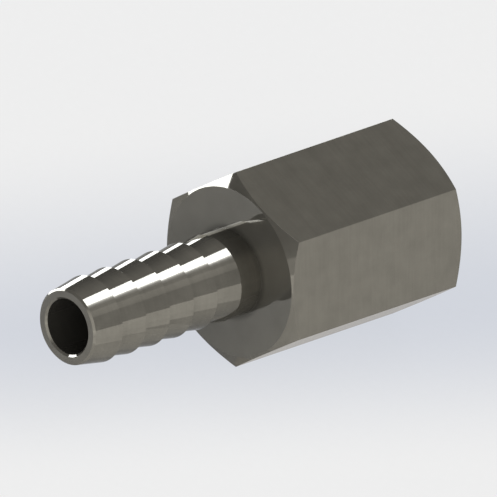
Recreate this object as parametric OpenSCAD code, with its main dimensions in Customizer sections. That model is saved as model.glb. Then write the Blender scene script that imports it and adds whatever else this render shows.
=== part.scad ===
// Hose barb fitting, turned from one length of hexagon bar.
// A barbed hose tail stands on one end of the hexagon, and a tapped port opens in the other.
// It lies on one flat of the hexagon, with its axis along X, the tail to -X and the port to +X.

/* [Hexagon] */
// Width across the flats, which a spanner takes
hex_af = 22; // [20:0.5:28]
// Length of the hexagon, with the chamfers at both ends
hex_len = 29.3; // [25:0.1:45]
// How much smaller the flat end faces are in diameter than the width across the flats
face_margin = 0.4; // [0.1:0.1:1.2]
// Slope of the turned corner chamfers, in degrees from the end face
corner_slope = 30; // [15:1:45]

/* [Hose tail] */
// Number of sawtooth barbs
barb_count = 6; // [2:1:9]
// Distance from one barb's crest to the next
barb_pitch = 4.1; // [3:0.1:6]
// Diameter over the crests, and of the plain neck behind them
crest_d = 11.05; // [10.5:0.05:13]
// Diameter at the foot of each barb
root_d = 9.7; // [9:0.05:10.3]
// Length of the plain neck between the hexagon and the last barb
neck_len = 3.4; // [1:0.1:8]
// Length of the front barb, from its crest to the nose
nose_len = 4.25; // [3:0.05:6]
// Size of the 45 degree edge breaks on the nose, outside and in the bore
nose_break = 0.25; // [0.1:0.05:0.4]

/* [Bore and port] */
// Diameter of the flow bore through the tail
bore_d = 7.1; // [5:0.1:7.6]
// Major diameter of the parallel pipe thread, to the foot of its grooves
thread_major_d = 16.66; // [15.6:0.01:17]
// Minor diameter of the thread, which is also the drill under it
thread_minor_d = 14.95; // [13:0.01:15.5]
// Depth of the thread from the port face
thread_len = 15; // [8:0.5:17]
// Length over which the last turns run out to the drilled wall
thread_fade = 1.5; // [0.5:0.1:3]
// Depth of the drilled hole at its full diameter
drill_len = 18.5; // [17.5:0.5:20]
// Diameter of the countersunk mouth at the port face
mouth_d = 17.8; // [17.2:0.1:18.4]
// Included angle of the drill's point
point_angle = 118; // [90:1:140]

/* [Hidden] */
$fn = 96;

// Steel, as turned
steel = [0.47, 0.47, 0.45];
// How far a cut runs past the face that it opens
past = 1;

hex_sides = 6;
corner_r = hex_af / 2 / cos(180 / hex_sides);
face_r = (hex_af - face_margin) / 2;
crest_r = crest_d / 2;
root_r = root_d / 2;
bore_r = bore_d / 2;
thread_r = thread_major_d / 2;
drill_r = thread_minor_d / 2;
mouth_r = mouth_d / 2;

// Stations along the axis, from the port face to the nose
first_crest = hex_len + neck_len;
front_crest = first_crest + (barb_count - 1) * barb_pitch;
total_len = front_crest + nose_len;
point_end = drill_len + (drill_r - bore_r) / tan(point_angle / 2);

// The barbs all taper at one slope, and the front one keeps it as far as the nose
taper = (crest_r - root_r) / barb_pitch;
nose_r = crest_r - taper * (nose_len - nose_break);

// Crest of one barb and the foot of its taper, as radius and station
function barb(k) = [
    [crest_r, first_crest + k * barb_pitch],
    [root_r, first_crest + (k + 1) * barb_pitch]
];

// Hexagon bar, cut to length
module bar() {
    linear_extrude(hex_len)
        rotate(180 / hex_sides)
            circle(r = corner_r, $fn = hex_sides);
}

// Turned outline that leaves a round face and a chamfer on the corners at each end
module corner_turning() {
    reach_r = corner_r + past;
    rise = (reach_r - face_r) * tan(corner_slope);
    rotate_extrude()
        polygon([
            [0, 0],
            [face_r, 0],
            [reach_r, rise],
            [reach_r, hex_len - rise],
            [face_r, hex_len],
            [0, hex_len]
        ]);
}

// Neck, barbs and nose, turned in one profile that starts inside the hexagon
module hose_tail() {
    rotate_extrude()
        polygon(concat(
            [[0, hex_len - past], [crest_r, hex_len - past]],
            [for (k = [0 : barb_count - 2]) each barb(k)],
            [
                [crest_r, front_crest],
                [nose_r, total_len - nose_break],
                [nose_r - nose_break, total_len],
                [0, total_len]
            ]
        ));
}

// Countersink, tapped wall, drilled wall, drill point and flow bore, cut from end to end
module waterway() {
    rotate_extrude()
        polygon([
            [0, -past],
            [mouth_r + past, -past],
            [thread_r, mouth_r - thread_r],
            [thread_r, thread_len - thread_fade],
            [drill_r, thread_len],
            [drill_r, drill_len],
            [bore_r, point_end],
            [bore_r, total_len - nose_break],
            [bore_r + nose_break + past, total_len + past],
            [0, total_len + past]
        ]);
}

// The fitting, with its axis on Z and the port face at zero
module turned_fitting() {
    difference() {
        union() {
            intersection() {
                bar();
                corner_turning();
            }
            hose_tail();
        }
        waterway();
    }
}

module fitting_body() {
    color(steel)
        translate([total_len / 2, 0, hex_af / 2])
            rotate([0, -90, 0])
                turned_fitting();
}

fitting_body();
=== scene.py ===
import math

import bpy
from mathutils import Matrix, Vector


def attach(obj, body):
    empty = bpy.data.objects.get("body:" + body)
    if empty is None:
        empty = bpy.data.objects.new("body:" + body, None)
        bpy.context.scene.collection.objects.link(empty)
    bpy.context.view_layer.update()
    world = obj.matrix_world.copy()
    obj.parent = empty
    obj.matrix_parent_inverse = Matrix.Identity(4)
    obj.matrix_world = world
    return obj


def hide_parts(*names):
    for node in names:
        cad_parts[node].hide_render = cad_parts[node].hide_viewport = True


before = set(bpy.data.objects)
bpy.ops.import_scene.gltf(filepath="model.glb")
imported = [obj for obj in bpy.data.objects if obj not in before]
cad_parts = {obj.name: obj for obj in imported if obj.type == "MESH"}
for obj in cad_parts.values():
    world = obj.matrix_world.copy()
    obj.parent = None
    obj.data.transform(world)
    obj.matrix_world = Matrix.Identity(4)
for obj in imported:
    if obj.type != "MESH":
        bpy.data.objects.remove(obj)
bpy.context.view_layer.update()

# Hexagon. It is a length of 22 mm stainless bar, faced at both ends and turned back at 30
# degrees on the corners, so that each flat ends in a curved edge. The mesh of the whole
# fitting is a stack of rings around its axis, and this section lays down the hexagon's.
MM = 0.001
port_face_x = 28.725
axis_height = 11.0

across_flats = 22.0
hexagon_length = 29.3
end_face_radius = 10.8
corner_slope = math.radians(30)
bar_corner_radius = 0.08
edge_break = 0.02
face_margin = 0.4

column_step = 2
arc_steps = 3
hair = 1e-9
apothem = across_flats / 2
sixth = math.radians(60)
half_flat = math.atan((apothem - bar_corner_radius) * math.tan(sixth / 2) / apothem)
corner_share = sixth / 2 - half_flat


def column_angles():
    """Angles of the mesh's columns: even steps, with more of them round the bar's corners."""
    angles = {math.radians(a) for a in range(0, 360, column_step)}
    for corner in range(6):
        middle = (corner + 0.5) * sixth
        for share in (-1, -0.5, 0.5, 1):
            angles.add(middle + share * corner_share)
    return sorted(angles)


columns = column_angles()


def spoke(angle):
    """Unit direction away from the axis at an angle from straight up."""
    return Vector((0, math.sin(angle), math.cos(angle)))


def bar_outline(angle):
    """Radius of the rounded hexagon at an angle, and the way its surface faces there."""
    flat = round(angle / sixth) * sixth
    off = angle - flat
    if abs(off) <= half_flat + hair:
        return apothem / math.cos(off), spoke(flat)
    corner = flat + math.copysign(sixth / 2, off)
    middle = (apothem - bar_corner_radius) / math.cos(sixth / 2)
    lean = angle - corner
    rest = bar_corner_radius**2 - (middle * math.sin(lean)) ** 2
    radius = middle * math.cos(lean) + math.sqrt(max(rest, 0))
    facing = spoke(angle) * radius - spoke(corner) * middle
    return radius, facing.normalized()


def broken_corner(before, corner, after, size):
    """Stations, radii and facings along the small arc that takes a sharp corner's place."""
    p, c, q = (Vector(v) for v in (before, corner, after))
    into, out = (c - p).normalized(), (q - c).normalized()
    trim = size * math.tan(into.angle(out) / 2)
    start, end = c - into * trim, c + out * trim
    rows = []
    for i in range(arc_steps + 1):
        t = i / arc_steps
        place = start * (1 - t) ** 2 + c * 2 * t * (1 - t) + end * t**2
        way = into.slerp(out, t)
        rows.append((place.x, place.y, way.y, -way.x))
    return rows


rings = []
finishes = []


def point_on(station, radius, angle):
    """A point of the fitting, in metres, from its station behind the port face."""
    arm = spoke(angle) * radius
    return Vector((port_face_x - station, arm.y, arm.z + axis_height)) * MM


def add_ring(places, facings, finish):
    """One ring of points; finish names the surface between it and the ring before."""
    rings.append((places, facings))
    finishes.append(finish)


def add_turned(rows, finish):
    """Rings that are circles, as the lathe cuts them."""
    for station, radius, along, away in rows:
        add_ring(
            [point_on(station, radius, a) for a in columns],
            [Vector((-along, *(spoke(a) * away).yz)) for a in columns],
            finish,
        )


def hexagon_rows(angle):
    """Rows of one column over the hexagon, from the front face to the port face.

    On a chamfer the surface faces straight out from the axis, and on a flat it faces as the
    flat does. It turns from one to the other along the arc between them.
    """
    radius, facing = bar_outline(angle)
    depth = (radius - end_face_radius) * math.tan(corner_slope)
    outline = [
        (hexagon_length, end_face_radius - face_margin),
        (hexagon_length, end_face_radius),
        (hexagon_length - depth, radius),
        (depth, radius),
        (0, end_face_radius),
        (0, end_face_radius - face_margin),
    ]
    flat_start, flat_end = 2, 3
    rows = []
    for k in range(1, len(outline) - 1):
        corner = broken_corner(*outline[k - 1 : k + 2], edge_break)
        for i, (station, r, along, away) in enumerate(corner):
            t = i / (len(corner) - 1)
            flatness = {flat_start: t, flat_end: 1 - t}.get(k, 0)
            arm = spoke(angle).lerp(facing, flatness).normalized() * away
            rows.append((point_on(station, r, angle), Vector((-along, arm.y, arm.z))))
    return rows


def add_hexagon():
    """The hexagon's rings, each of them a curve that follows the chamfers and the flats."""
    per_column = [hexagon_rows(a) for a in columns]
    finish_at = {0: "faced", len(per_column[0]) // 2: "drawn"}
    for row in range(len(per_column[0])):
        places, facings = zip(*(column[row] for column in per_column))
        add_ring(list(places), list(facings), finish_at.get(row, "turned"))


# Hose tail. Six sawtooth barbs, a plain neck of crest diameter behind them and a nose with
# both edges broken are turned on the bar's front end in one pass of a form tool.
crest_radius = 5.525
root_radius = 4.85
first_crest = 32.7
barb_pitch = 4.1
barb_count = 6
nose_station = 57.45
nose_break = 0.25
bore_radius = 3.55
crest_break = 0.02
root_fillet = 0.04
neck_fillet = 0.01

taper = (crest_radius - root_radius) / barb_pitch
front_crest = first_crest + (barb_count - 1) * barb_pitch
nose_radius = crest_radius - taper * (nose_station - nose_break - front_crest)


def tail_profile():
    """The tail's corners from the nose to the front face, each with the size of its arc."""
    bore_edge = bore_radius + nose_break
    corners = [
        ((nose_station, bore_edge), crest_break),
        ((nose_station, nose_radius - nose_break), crest_break),
        ((nose_station - nose_break, nose_radius), crest_break),
    ]
    for k in reversed(range(1, barb_count)):
        crest = first_crest + k * barb_pitch
        corners.append(((crest, crest_radius), crest_break))
        corners.append(((crest, root_radius), root_fillet))
    corners.append(((first_crest, crest_radius), crest_break))
    corners.append(((hexagon_length, crest_radius), neck_fillet))
    return corners


def add_profile(corners, before, after, finish, first=None):
    """Rings for a run of profile corners, given the points just before and after it."""
    points = [before, *(c[0] for c in corners), after]
    start = len(rings)
    for k, (_, size) in enumerate(corners):
        add_turned(broken_corner(*points[k : k + 3], size), finish)
    finishes[start] = first or finish


add_profile(
    tail_profile(),
    before=(nose_station - nose_break, bore_radius),
    after=(hexagon_length, end_face_radius),
    finish="turned",
)
add_hexagon()

# Port. It is drilled from the back, countersunk and tapped with a right-hand parallel pipe
# thread of 55 degrees, whose rounded ridges run out to the drilled wall over the last turn.
mouth_radius = 8.9
thread_major = 8.33
thread_minor = 7.475
thread_pitch = 1.337
thread_end = 15.0
thread_fade = 1.5
flank_angle = math.radians(27.5)
round_share = 0.1373
round_steps = 4
drilled_end = 18.5
point_end = 20.858
thread_first = 0.3
thread_last = 15.3

round_radius = round_share * thread_pitch
half_right = math.sqrt(0.5)


def ridge_rows():
    """One pitch of the thread: how far along, the radius, and the way the surface faces."""
    steps = [2 * i / round_steps - 1 for i in range(round_steps + 1)]
    swing = math.pi / 2 - flank_angle
    rows = []
    for s in steps:
        a = s * swing
        drop = round_radius * (1 - math.cos(a))
        along = round_radius * math.sin(a)
        rows.append((along, thread_minor + drop, math.sin(a), -math.cos(a)))
    for s in steps:
        a = s * swing
        drop = round_radius * (1 - math.cos(a))
        along = thread_pitch / 2 + round_radius * math.sin(a)
        rows.append((along, thread_major - drop, -math.sin(a), -math.cos(a)))
    return rows


def tapped(station, radius, facing):
    """The ridge's radius and facing where the countersink or the run-out cuts across it."""
    countersunk = mouth_radius - station
    if countersunk > radius:
        return countersunk, (-half_right, -half_right)
    slope = (thread_major - thread_minor) / thread_fade
    left = thread_major - slope * (station - (thread_end - thread_fade))
    limit = max(min(left, thread_major), thread_minor)
    if limit < radius:
        if limit == thread_minor:
            return limit, (0, -1)
        return limit, tuple(Vector((-slope, -1)).normalized())
    return radius, facing


add_profile(
    [((0, mouth_radius), crest_break)],
    before=(0, end_face_radius),
    after=(mouth_radius - thread_major, thread_major),
    finish="turned",
    first="faced",
)
add_turned([(thread_first, mouth_radius - thread_first, -half_right, -half_right)], "turned")
ring_before_thread = len(rings) - 1
add_turned([(thread_last, thread_minor, 0, -1)], "thread")
add_profile(
    [
        ((drilled_end, thread_minor), root_fillet),
        ((point_end, bore_radius), crest_break),
        ((nose_station - nose_break, bore_radius), crest_break),
    ],
    before=(thread_last, thread_minor),
    after=(nose_station, bore_radius + nose_break),
    finish="bored",
)

# Skin of the fitting. The rings are joined into one closed surface, with the helix of the
# thread between two of them, and it takes the CAD body's place. It is bare stainless steel
# in four finishes: bright drawn flats, fine turned surfaces, faced ends and a dull bore.
finish_order = ["drawn", "turned", "faced", "bored"]
lead_in_turns = 1.5
spare_turns = 2
count = len(columns)
places = [p for ring, _ in rings for p in ring]
facings = [n for _, normals in rings for n in normals]
faces, face_finish = [], []


def join(a, b, c, d, finish):
    """A quad, or the triangle that is left of it where two of its corners are one."""
    corners = list(dict.fromkeys((a, b, c, d)))
    if len(corners) > 2:
        faces.append(corners)
        face_finish.append(finish_order.index(finish))


for k in range(len(rings)):
    following = (k + 1) % len(rings)
    finish = finishes[following] if following else "turned"
    if k == ring_before_thread:
        continue
    for j in range(count):
        i = (j + 1) % count
        join(k * count + j, following * count + j, following * count + i, k * count + i, finish)


def add_thread():
    """The tapped wall: rows that follow the helix, held at both ends to the rings there."""
    ridge = ridge_rows()
    turns = math.ceil((thread_last - thread_first) / thread_pitch) + spare_turns
    grid = []
    for k in range(turns * len(ridge)):
        turn, part = divmod(k, len(ridge))
        along, radius, *facing = ridge[part]
        row = []
        for j, angle in enumerate(columns):
            lead = thread_pitch * (angle / math.tau + turn - lead_in_turns)
            station = thread_first + lead + along
            if station <= thread_first:
                row.append(ring_before_thread * count + j)
            elif station >= thread_last:
                row.append((ring_before_thread + 1) * count + j)
            else:
                r, way = tapped(station, radius, facing)
                places.append(point_on(station, r, angle))
                facings.append(Vector((-way[0], *(spoke(angle) * way[1]).yz)))
                row.append(len(places) - 1)
        grid.append(row)
    for k in range(len(grid) - 1):
        for j in range(count - 1):
            join(grid[k][j], grid[k + 1][j], grid[k + 1][j + 1], grid[k][j + 1], "bored")
        over = k + len(ridge)
        if over + 1 < len(grid):
            join(grid[k][-1], grid[k + 1][-1], grid[over + 1][0], grid[over][0], "bored")


add_thread()
mesh = bpy.data.meshes.new("turned_fitting")
mesh.from_pydata(places, [], faces)
mesh.polygons.foreach_set("material_index", face_finish)
mesh.polygons.foreach_set("use_smooth", [True] * len(faces))
mesh.normals_split_custom_set_from_vertices([n.normalized() for n in facings])
mesh.update()
fitting = bpy.data.objects.new("turned_fitting", mesh)
bpy.context.scene.collection.objects.link(fitting)


def add_node(tree, kind, **settings):
    """A shader node with its properties set, and its inputs where a setting names one."""
    node = tree.nodes.new("ShaderNode" + kind)
    for name, value in settings.items():
        socket = node.inputs.get(name.replace("_", " "))
        if socket is None:
            setattr(node, name, value)
        else:
            socket.default_value = value
    return node


def colour_socket(sockets, name):
    """The colour socket of a Mix node, whose sockets for other kinds share its name."""
    return next(s for s in sockets if s.name == name and s.type == "RGBA")


def node_group(name, takes, gives):
    """An empty shader node group with named inputs and outputs, and its two end nodes."""
    tree = bpy.data.node_groups.new(name, "ShaderNodeTree")
    for label, kind in takes.items():
        tree.interface.new_socket(label, in_out="INPUT", socket_type="NodeSocket" + kind)
    for label, kind in gives.items():
        tree.interface.new_socket(label, in_out="OUTPUT", socket_type="NodeSocket" + kind)
    return tree, tree.nodes.new("NodeGroupInput"), tree.nodes.new("NodeGroupOutput")


line_stretch = (1.0, 0.06, 0.06)
line_share = 0.35
noise_low, noise_high = 0.3, 0.7


def mill_mottle():
    """Cloudy patches and faint lines across the bar, as polished steel shows them."""
    tree, takes, gives = node_group(
        "mill_mottle",
        {"Place": "Vector", "Patches": "Float", "Lines": "Float"},
        {"Mask": "Float"},
    )
    patches = add_node(tree, "TexNoise", Detail=3.0, Roughness=0.55)
    stretch = add_node(tree, "VectorMath", operation="MULTIPLY")
    stretch.inputs[1].default_value = line_stretch
    lines = add_node(tree, "TexNoise", Detail=2.0, Roughness=0.6)
    both = add_node(tree, "Mix", data_type="FLOAT")
    both.inputs["Factor"].default_value = line_share
    tree.links.new(takes.outputs["Place"], patches.inputs["Vector"])
    tree.links.new(takes.outputs["Patches"], patches.inputs["Scale"])
    tree.links.new(takes.outputs["Place"], stretch.inputs[0])
    tree.links.new(stretch.outputs["Vector"], lines.inputs["Vector"])
    tree.links.new(takes.outputs["Lines"], lines.inputs["Scale"])
    tree.links.new(patches.outputs["Fac"], both.inputs["A"])
    tree.links.new(lines.outputs["Fac"], both.inputs["B"])
    tree.links.new(both.outputs["Result"], gives.inputs["Mask"])
    return tree


def turning_marks():
    """Fine rings around the axis that a turning tool leaves on faces and round surfaces."""
    tree, takes, gives = node_group(
        "turning_marks", {"Place": "Vector", "Fineness": "Float"}, {"Height": "Float"}
    )
    from_axis = add_node(tree, "VectorMath", operation="SUBTRACT")
    from_axis.inputs[1].default_value = (0.0, 0.0, axis_height * MM)
    split = add_node(tree, "SeparateXYZ")
    cross = add_node(tree, "CombineXYZ")
    radius = add_node(tree, "VectorMath", operation="LENGTH")
    ringed = add_node(tree, "CombineXYZ")
    marks = add_node(tree, "TexNoise", Detail=2.0, Roughness=0.7)
    tree.links.new(takes.outputs["Place"], from_axis.inputs[0])
    tree.links.new(from_axis.outputs["Vector"], split.inputs["Vector"])
    tree.links.new(split.outputs["Y"], cross.inputs["Y"])
    tree.links.new(split.outputs["Z"], cross.inputs["Z"])
    tree.links.new(cross.outputs["Vector"], radius.inputs[0])
    tree.links.new(split.outputs["X"], ringed.inputs["X"])
    tree.links.new(radius.outputs["Value"], ringed.inputs["Y"])
    tree.links.new(ringed.outputs["Vector"], marks.inputs["Vector"])
    tree.links.new(takes.outputs["Fineness"], marks.inputs["Scale"])
    tree.links.new(marks.outputs["Fac"], gives.inputs["Height"])
    return tree


def painted_corner_shade():
    """Painted shade in a turned inside corner: the colour darkens there and lightens again over
    its reach.
    """
    tree, takes, gives = node_group(
        "painted_corner_shade",
        {"Place": "Vector", "Corner": "Vector", "Reach": "Float"},
        {"Mask": "Float"},
    )
    split = add_node(tree, "SeparateXYZ")
    raised = add_node(tree, "Math", operation="SUBTRACT")
    raised.inputs[1].default_value = axis_height * MM
    cross = add_node(tree, "CombineXYZ")
    radius = add_node(tree, "VectorMath", operation="LENGTH")
    section = add_node(tree, "CombineXYZ")
    gap = add_node(tree, "VectorMath", operation="DISTANCE")
    # Painted shade: full at the corner, gone at the reach.
    corner_shade = add_node(tree, "MapRange", interpolation_type="SMOOTHSTEP", To_Min=1.0, To_Max=0.0)
    tree.links.new(takes.outputs["Place"], split.inputs["Vector"])
    tree.links.new(split.outputs["Y"], cross.inputs["Y"])
    tree.links.new(split.outputs["Z"], raised.inputs[0])
    tree.links.new(raised.outputs["Value"], cross.inputs["Z"])
    tree.links.new(cross.outputs["Vector"], radius.inputs[0])
    tree.links.new(split.outputs["X"], section.inputs["X"])
    tree.links.new(radius.outputs["Value"], section.inputs["Y"])
    tree.links.new(section.outputs["Vector"], gap.inputs[0])
    tree.links.new(takes.outputs["Corner"], gap.inputs[1])
    tree.links.new(gap.outputs["Value"], corner_shade.inputs["Value"])
    tree.links.new(takes.outputs["Reach"], corner_shade.inputs["From Max"])
    tree.links.new(corner_shade.outputs["Result"], gives.inputs["Mask"])
    return tree


mottle, marks, corner_shade = mill_mottle(), turning_marks(), painted_corner_shade()
steel = (0.168, 0.158, 0.134)
metal_share = 0.72
gloss_swing = 0.25


def steel_finish(
    name, tone, edge_tint, contrast, roughness, patches, lines, fineness, depth, painted_corner
):
    """One finish of the steel: its tone, its mottle, the tool's rings, and the shade painted
    into its inside corner.
    """
    material = bpy.data.materials.new(name)
    material.use_nodes = True
    tree = material.node_tree
    shader = tree.nodes["Principled BSDF"]
    shader.inputs["Metallic"].default_value = metal_share
    shader.inputs["Specular IOR Level"].default_value = 0
    shader.inputs["Specular Tint"].default_value = (*edge_tint, 1)
    place = add_node(tree, "TexCoord")
    cloud = add_node(tree, "Group", node_tree=mottle, Patches=patches, Lines=lines)
    tool_rings = add_node(tree, "Group", node_tree=marks, Fineness=fineness)
    tree.links.new(place.outputs["Object"], cloud.inputs["Place"])
    tree.links.new(place.outputs["Object"], tool_rings.inputs["Place"])
    colour = add_node(tree, "Mix", data_type="RGBA")
    for socket, level in (("A", 1 - contrast), ("B", 1 + contrast)):
        value = [c * t * level for c, t in zip(steel, tone)]
        colour_socket(colour.inputs, socket).default_value = (*value, 1)
    spread = add_node(tree, "MapRange", From_Min=noise_low, From_Max=noise_high)
    tree.links.new(cloud.outputs["Mask"], spread.inputs["Value"])
    tree.links.new(spread.outputs["Result"], colour.inputs["Factor"])
    # Painted shade: the base colour is darkened towards the inside corner.
    corner, reach, share = painted_corner
    corner_mask = add_node(tree, "Group", node_tree=corner_shade, Reach=reach * MM)
    corner_mask.inputs["Corner"].default_value = Vector(corner) * MM
    shade_level = add_node(tree, "MapRange", To_Min=1.0, To_Max=1 - share)
    shaded_colour = add_node(tree, "VectorMath", operation="SCALE")
    tree.links.new(place.outputs["Object"], corner_mask.inputs["Place"])
    tree.links.new(corner_mask.outputs["Mask"], shade_level.inputs["Value"])
    tree.links.new(colour_socket(colour.outputs, "Result"), shaded_colour.inputs[0])
    tree.links.new(shade_level.outputs["Result"], shaded_colour.inputs["Scale"])
    tree.links.new(shaded_colour.outputs["Vector"], shader.inputs["Base Color"])
    gloss = add_node(tree, "MapRange", From_Min=noise_low, From_Max=noise_high)
    gloss.inputs["To Min"].default_value = roughness * (1 + gloss_swing)
    gloss.inputs["To Max"].default_value = roughness * (1 - gloss_swing)
    tree.links.new(cloud.outputs["Mask"], gloss.inputs["Value"])
    tree.links.new(gloss.outputs["Result"], shader.inputs["Roughness"])
    bump = add_node(tree, "Bump", Strength=1.0, Distance=depth)
    tree.links.new(tool_rings.outputs["Height"], bump.inputs["Height"])
    tree.links.new(bump.outputs["Normal"], shader.inputs["Normal"])
    return material


warm_tint, even_tint = (0.63, 0.585, 0.52), (0.60, 0.60, 0.60)
bar_tone, face_tone, bore_tone = (1.0, 1.0, 1.0), (0.965, 0.97, 0.975), (0.55, 0.55, 0.55)
# Painted shade: darker colour round the foot of the neck, on the end face and along the neck,
# and in the port's drilled corner.
neck_corner = (port_face_x - hexagon_length, crest_radius, 0)
drill_corner = (port_face_x - drilled_end, thread_minor, 0)
shade_reach, neck_shade_reach = 0.95, 8
shade_share, neck_shade_share = 0.38, 0.22
on_face = (neck_corner, shade_reach, shade_share)
on_neck = (neck_corner, neck_shade_reach, neck_shade_share)
in_port = (drill_corner, shade_reach, shade_share)
drawn_flats = steel_finish(
    "drawn_flats",
    tone=bar_tone,
    edge_tint=warm_tint,
    contrast=0.1,
    roughness=0.07,
    patches=420,
    lines=2600,
    fineness=1500,
    depth=1e-7,
    painted_corner=on_face,
)
turned_faces = steel_finish(
    "turned_faces",
    tone=bar_tone,
    edge_tint=even_tint,
    contrast=0.12,
    roughness=0.05,
    patches=420,
    lines=3400,
    fineness=6000,
    depth=2e-7,
    painted_corner=on_neck,
)
faced_ends = steel_finish(
    "faced_ends",
    tone=face_tone,
    edge_tint=even_tint,
    contrast=0.08,
    roughness=0.045,
    patches=420,
    lines=3400,
    fineness=5000,
    depth=3e-7,
    painted_corner=on_face,
)
bored_walls = steel_finish(
    "bored_walls",
    tone=bore_tone,
    edge_tint=even_tint,
    contrast=0.1,
    roughness=0.22,
    patches=600,
    lines=4000,
    fineness=7000,
    depth=1e-6,
    painted_corner=in_port,
)
for surface in (drawn_flats, turned_faces, faced_ends, bored_walls):
    mesh.materials.append(surface)

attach(fitting, "root")
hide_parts("fitting_body")

# Floor. A wide, thick sheet of matt white board, with a soft blue-grey half-shade painted into
# its colour along a band under the fitting; it is palest in front of it and behind it. Part of
# its light is its own, for the camera and in reflections, so that the fitting's shadow stays
# faint.
floor_size = 12.0
board_thickness = 0.05
pale_board = (0.868, 0.868, 0.868)
board_painted_shade = (0.655, 0.680, 0.737)
board_fibre = 0.004
fibre_fineness = 900
lit_by_itself = 0.94
back_fade = ((0.1741, 0.7381, 0.0), 0.0004, 0.0267)
front_fade = ((0.2202, 0.6984, 0.0), -0.0182, 0.0020)

bpy.ops.mesh.primitive_plane_add(size=floor_size)
floor = bpy.context.object
floor.name = "floor"
board = floor.modifiers.new("board_thickness", "SOLIDIFY")
board.thickness, board.offset = board_thickness, -1


def add_fade(tree, place, way, start, end):
    """A share that rises from 0 to 1 between two distances along a way over the floor."""
    along = add_node(tree, "VectorMath", operation="DOT_PRODUCT")
    along.inputs[1].default_value = way
    fade = add_node(
        tree, "MapRange", interpolation_type="SMOOTHSTEP", From_Min=start, From_Max=end
    )
    tree.links.new(place.outputs["Object"], along.inputs[0])
    tree.links.new(along.outputs["Value"], fade.inputs["Value"])
    return fade.outputs["Result"]


def matt_board():
    """The board: its two fades, its faint fibre, and the light that it adds itself."""
    material = bpy.data.materials.new("matt_board")
    material.use_nodes = True
    tree = material.node_tree
    shader = tree.nodes["Principled BSDF"]
    shader.inputs["Roughness"].default_value = 1
    shader.inputs["Specular IOR Level"].default_value = 0
    place = add_node(tree, "TexCoord")
    # Painted shade: between the two fades the board takes the blue-grey shaded colour.
    band = add_node(tree, "Math", operation="SUBTRACT")
    tree.links.new(add_fade(tree, place, *front_fade), band.inputs[0])
    tree.links.new(add_fade(tree, place, *back_fade), band.inputs[1])
    fibre = add_node(tree, "TexNoise", Scale=fibre_fineness, Detail=4)
    level = add_node(tree, "MapRange", From_Min=noise_low, From_Max=noise_high)
    level.inputs["To Min"].default_value = 1 - board_fibre
    level.inputs["To Max"].default_value = 1 + board_fibre
    colour = add_node(tree, "Mix", data_type="RGBA")
    colour_socket(colour.inputs, "A").default_value = (*pale_board, 1)
    colour_socket(colour.inputs, "B").default_value = (*board_painted_shade, 1)
    grained = add_node(tree, "VectorMath", operation="SCALE")
    tree.links.new(place.outputs["Object"], fibre.inputs["Vector"])
    tree.links.new(fibre.outputs["Fac"], level.inputs["Value"])
    tree.links.new(band.outputs["Value"], colour.inputs["Factor"])
    tree.links.new(colour_socket(colour.outputs, "Result"), grained.inputs[0])
    tree.links.new(level.outputs["Result"], grained.inputs["Scale"])
    tree.links.new(grained.outputs["Vector"], shader.inputs["Base Color"])
    glow = add_node(tree, "Emission")
    tree.links.new(grained.outputs["Vector"], glow.inputs["Color"])
    path = add_node(tree, "LightPath")
    seen = path.outputs["Is Camera Ray"]
    for kind in ("Is Glossy Ray", "Is Transmission Ray"):
        either = add_node(tree, "Math", operation="MAXIMUM")
        tree.links.new(seen, either.inputs[0])
        tree.links.new(path.outputs[kind], either.inputs[1])
        seen = either.outputs["Value"]
    share = add_node(tree, "Math", operation="MULTIPLY")
    share.inputs[1].default_value = lit_by_itself
    tree.links.new(seen, share.inputs[0])
    both = add_node(tree, "MixShader")
    tree.links.new(share.outputs["Value"], both.inputs["Fac"])
    tree.links.new(shader.outputs["BSDF"], both.inputs[1])
    tree.links.new(glow.outputs["Emission"], both.inputs[2])
    tree.links.new(both.outputs["Shader"], tree.nodes["Material Output"].inputs["Surface"])
    return material


floor.data.materials.append(matt_board())


# Studio light. A strip with a soft end hangs over the fitting, and bright panels to its left
# and dim ones in front and to its right draw long lights on its round surfaces. The fill is
# seen in no reflection, the left floor panels only there, and the room gives a soft glow.
def direction(azimuth, elevation):
    """Unit direction by its angle from +X towards +Y, and its height above the floor."""
    a, e = math.radians(azimuth), math.radians(elevation)
    return Vector((math.cos(a) * math.cos(e), math.sin(a) * math.cos(e), math.sin(e)))


def stand_at(place, right, up, back):
    """The matrix of a lamp or camera at a place, from its own three directions."""
    return Matrix.Translation(place) @ Matrix((right, up, back)).transposed().to_4x4()


cool_white, plain_white, warm_white = (0.95, 1.0, 1.10), (1.0, 1.0, 1.0), (1.0, 0.7, 0.2)


def softbox(name, place, facing, long_side, size, radiance, tint=cool_white):
    """A rectangular lamp of a given radiance, one side of which lies along long_side."""
    lamp = bpy.data.lights.new(name, "AREA")
    lamp.color = tint
    lamp.shape = "RECTANGLE"
    lamp.size, lamp.size_y = size
    lamp.energy = radiance * math.pi * size[0] * size[1]
    box = bpy.data.objects.new(name, lamp)
    bpy.context.scene.collection.objects.link(box)
    back = -Vector(facing).normalized()
    side = Vector(long_side)
    side = (side - back * side.dot(back)).normalized()
    box.matrix_world = stand_at(place, side, back.cross(side), back)
    box.visible_camera = False
    return box


def upright_panel(name, azimuths, top, distance, radiance, tint=cool_white):
    """A panel that stands on the floor between two azimuths, up to an elevation."""
    middle, half = sum(azimuths) / 2, abs(azimuths[1] - azimuths[0]) / 2
    way = direction(middle, 0)
    width = 2 * distance * math.tan(math.radians(half))
    height = distance * math.tan(math.radians(top))
    place = way * distance + Vector((0, 0, height / 2))
    side = way.cross(Vector((0, 0, 1)))
    return softbox(name, place, -way, side, (width, height), radiance, tint)


lamp_distance = 2.0
strip_width = 0.2
strip_height = 66.3
strip_radiance = 10.3


def hanging_strip(name, start, end, width, radiance, tint=cool_white):
    """A softbox over the fitting that spans from one direction to another."""
    way = (start + end).normalized()
    length = 2 * lamp_distance * math.tan(start.angle(end) / 2)
    place = way * lamp_distance
    return softbox(name, place, -way, end - start, (length, width), radiance, tint)


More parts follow.
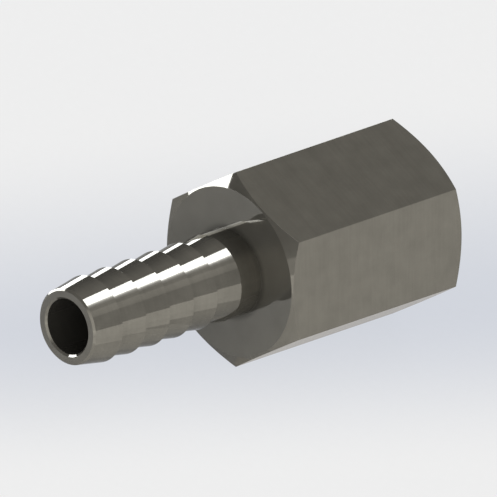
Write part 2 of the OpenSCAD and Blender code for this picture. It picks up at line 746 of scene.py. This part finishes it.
strip_ends = direction(7, strip_height), direction(41.5, 56)
hanging_strip("strip_softbox", *strip_ends, strip_width, strip_radiance)
strip_fade = ((1, 7, 3.2), (-5, 1, 1.1), (-13, -5, 0.4))
for piece, (start, end, radiance) in enumerate(strip_fade):
    ends = direction(start, strip_height), direction(end, strip_height)
    hanging_strip(f"strip_fade_{piece}", *ends, strip_width, radiance)
hanging_strip("glow_softbox", direction(-51, 52), direction(-31, 62.5), 0.3, 0.23, plain_white)

panel_lift = 0.0005
glow_lift = 0.0003
left_radiance = 12.5


def low_panel(name, corner, lift, turn, size, radiance, tint=cool_white):
    """A panel that lies just off the floor facing up, laid out from one of its corners."""
    side = direction(turn, 0)
    depth = direction(turn + 90, 0)
    middle = Vector((*corner, lift)) + (side * size[0] + depth * size[1]) / 2
    return softbox(name, middle, (0, 0, 1), side, size, radiance, tint)


left_panels = (
    low_panel("left_low_panel", (-0.0373, 0.0162), panel_lift, 32, (5, 3), left_radiance),
    low_panel("left_far_panel", (-0.31, 0.39), panel_lift, 38.5, (0.3, 3), left_radiance),
)
for panel in left_panels:
    panel.visible_diffuse = False
low_panel("front_low_panel", (-0.004, -0.008), panel_lift, 180, (1.5, 1), 0.2, plain_white)
low_panel("right_low_panel", (2.5, -0.0430), panel_lift, 180, (5, 1.4), 0.48, plain_white)
low_panel("under_glow", (-0.001, -0.0088), glow_lift, 0, (0.043, 0.0026), 0.1, warm_white)

left_distance, right_distance = 1.4, 1.5
upright_panel("left_upright_panel", (84, 108), 10, left_distance, strip_radiance)
front_fill = upright_panel("front_fill", (165, 205), 16, left_distance, 5.7, plain_white)
front_fill.visible_glossy = False
upright_panel("right_near_panel", (-100, -57), 21.5, right_distance, 0.85, plain_white)
upright_panel("front_panel", (-170, -100), 14, right_distance, 0.42, plain_white)
upright_panel("right_far_panel", (-57, -20), 21.5, right_distance, 0.54, plain_white)

world = bpy.data.worlds.new("room")
bpy.context.scene.world = world
world.use_nodes = True
tree = world.node_tree
where = add_node(tree, "TexCoord")


def room_shade(way, ends, levels, kind):
    """Light that goes from one level to another as a direction turns towards a way."""
    nearness = add_node(tree, "VectorMath", operation="DOT_PRODUCT")
    nearness.inputs[1].default_value = way
    level = add_node(
        tree, "MapRange", interpolation_type=kind, From_Min=ends[0], From_Max=ends[1]
    )
    level.inputs["To Min"].default_value = levels[0]
    level.inputs["To Max"].default_value = levels[1]
    tree.links.new(where.outputs["Generated"], nearness.inputs[0])
    tree.links.new(nearness.outputs["Value"], level.inputs["Value"])
    return level.outputs["Result"]


def room_glow(azimuth, elevation, outer, inner, strength):
    """A round patch that is lighter or darker: full inside one angle, gone outside another."""
    fade = math.cos(math.radians(outer)), math.cos(math.radians(inner))
    return room_shade(direction(azimuth, elevation), fade, (0, strength), "SMOOTHSTEP")


room_light = room_shade(direction(-45, 25), (-1, 1), (0.13, 0.61), "LINEAR")
glows = (
    (35, 40, 40, 8, 0.08),
    (-140, 32, 42, 12, 1.15),
    (-15, 65, 26, 4, 0.23),
    (62, 0, 50, 10, -0.17),
)
for glow in glows:
    total = add_node(tree, "Math", operation="ADD")
    tree.links.new(room_light, total.inputs[0])
    tree.links.new(room_glow(*glow), total.inputs[1])
    room_light = total.outputs["Value"]
tree.links.new(room_light, tree.nodes["Background"].inputs["Strength"])
tree.nodes["Background"].inputs["Color"].default_value = (1, 1, 1, 1)

# Camera. It stands at the photograph's angle and sees without perspective, as there.
pixels_across = 497
pixels_per_mm = 8.1629
camera_distance = 1.2
across, upward = 1.557, 2.577
aim = Vector((0.523, 0, axis_height))
camera_right = Vector((0.7091, -0.6106, 0.3526))
camera_back = Vector((-0.6626, -0.4056, 0.6297)).normalized()
camera_right = (camera_right - camera_back * camera_right.dot(camera_back)).normalized()
camera_up = camera_back.cross(camera_right)
centre = aim + camera_right * across + camera_up * upward
lens = bpy.data.cameras.new("camera")
lens.type = "ORTHO"
lens.ortho_scale = pixels_across / pixels_per_mm * MM
camera = bpy.data.objects.new("camera", lens)
bpy.context.scene.collection.objects.link(camera)
camera_place = centre * MM + camera_back * camera_distance
camera.matrix_world = stand_at(camera_place, camera_right, camera_up, camera_back)
bpy.context.scene.camera = camera
bpy.context.scene.view_settings.view_transform = "Standard"
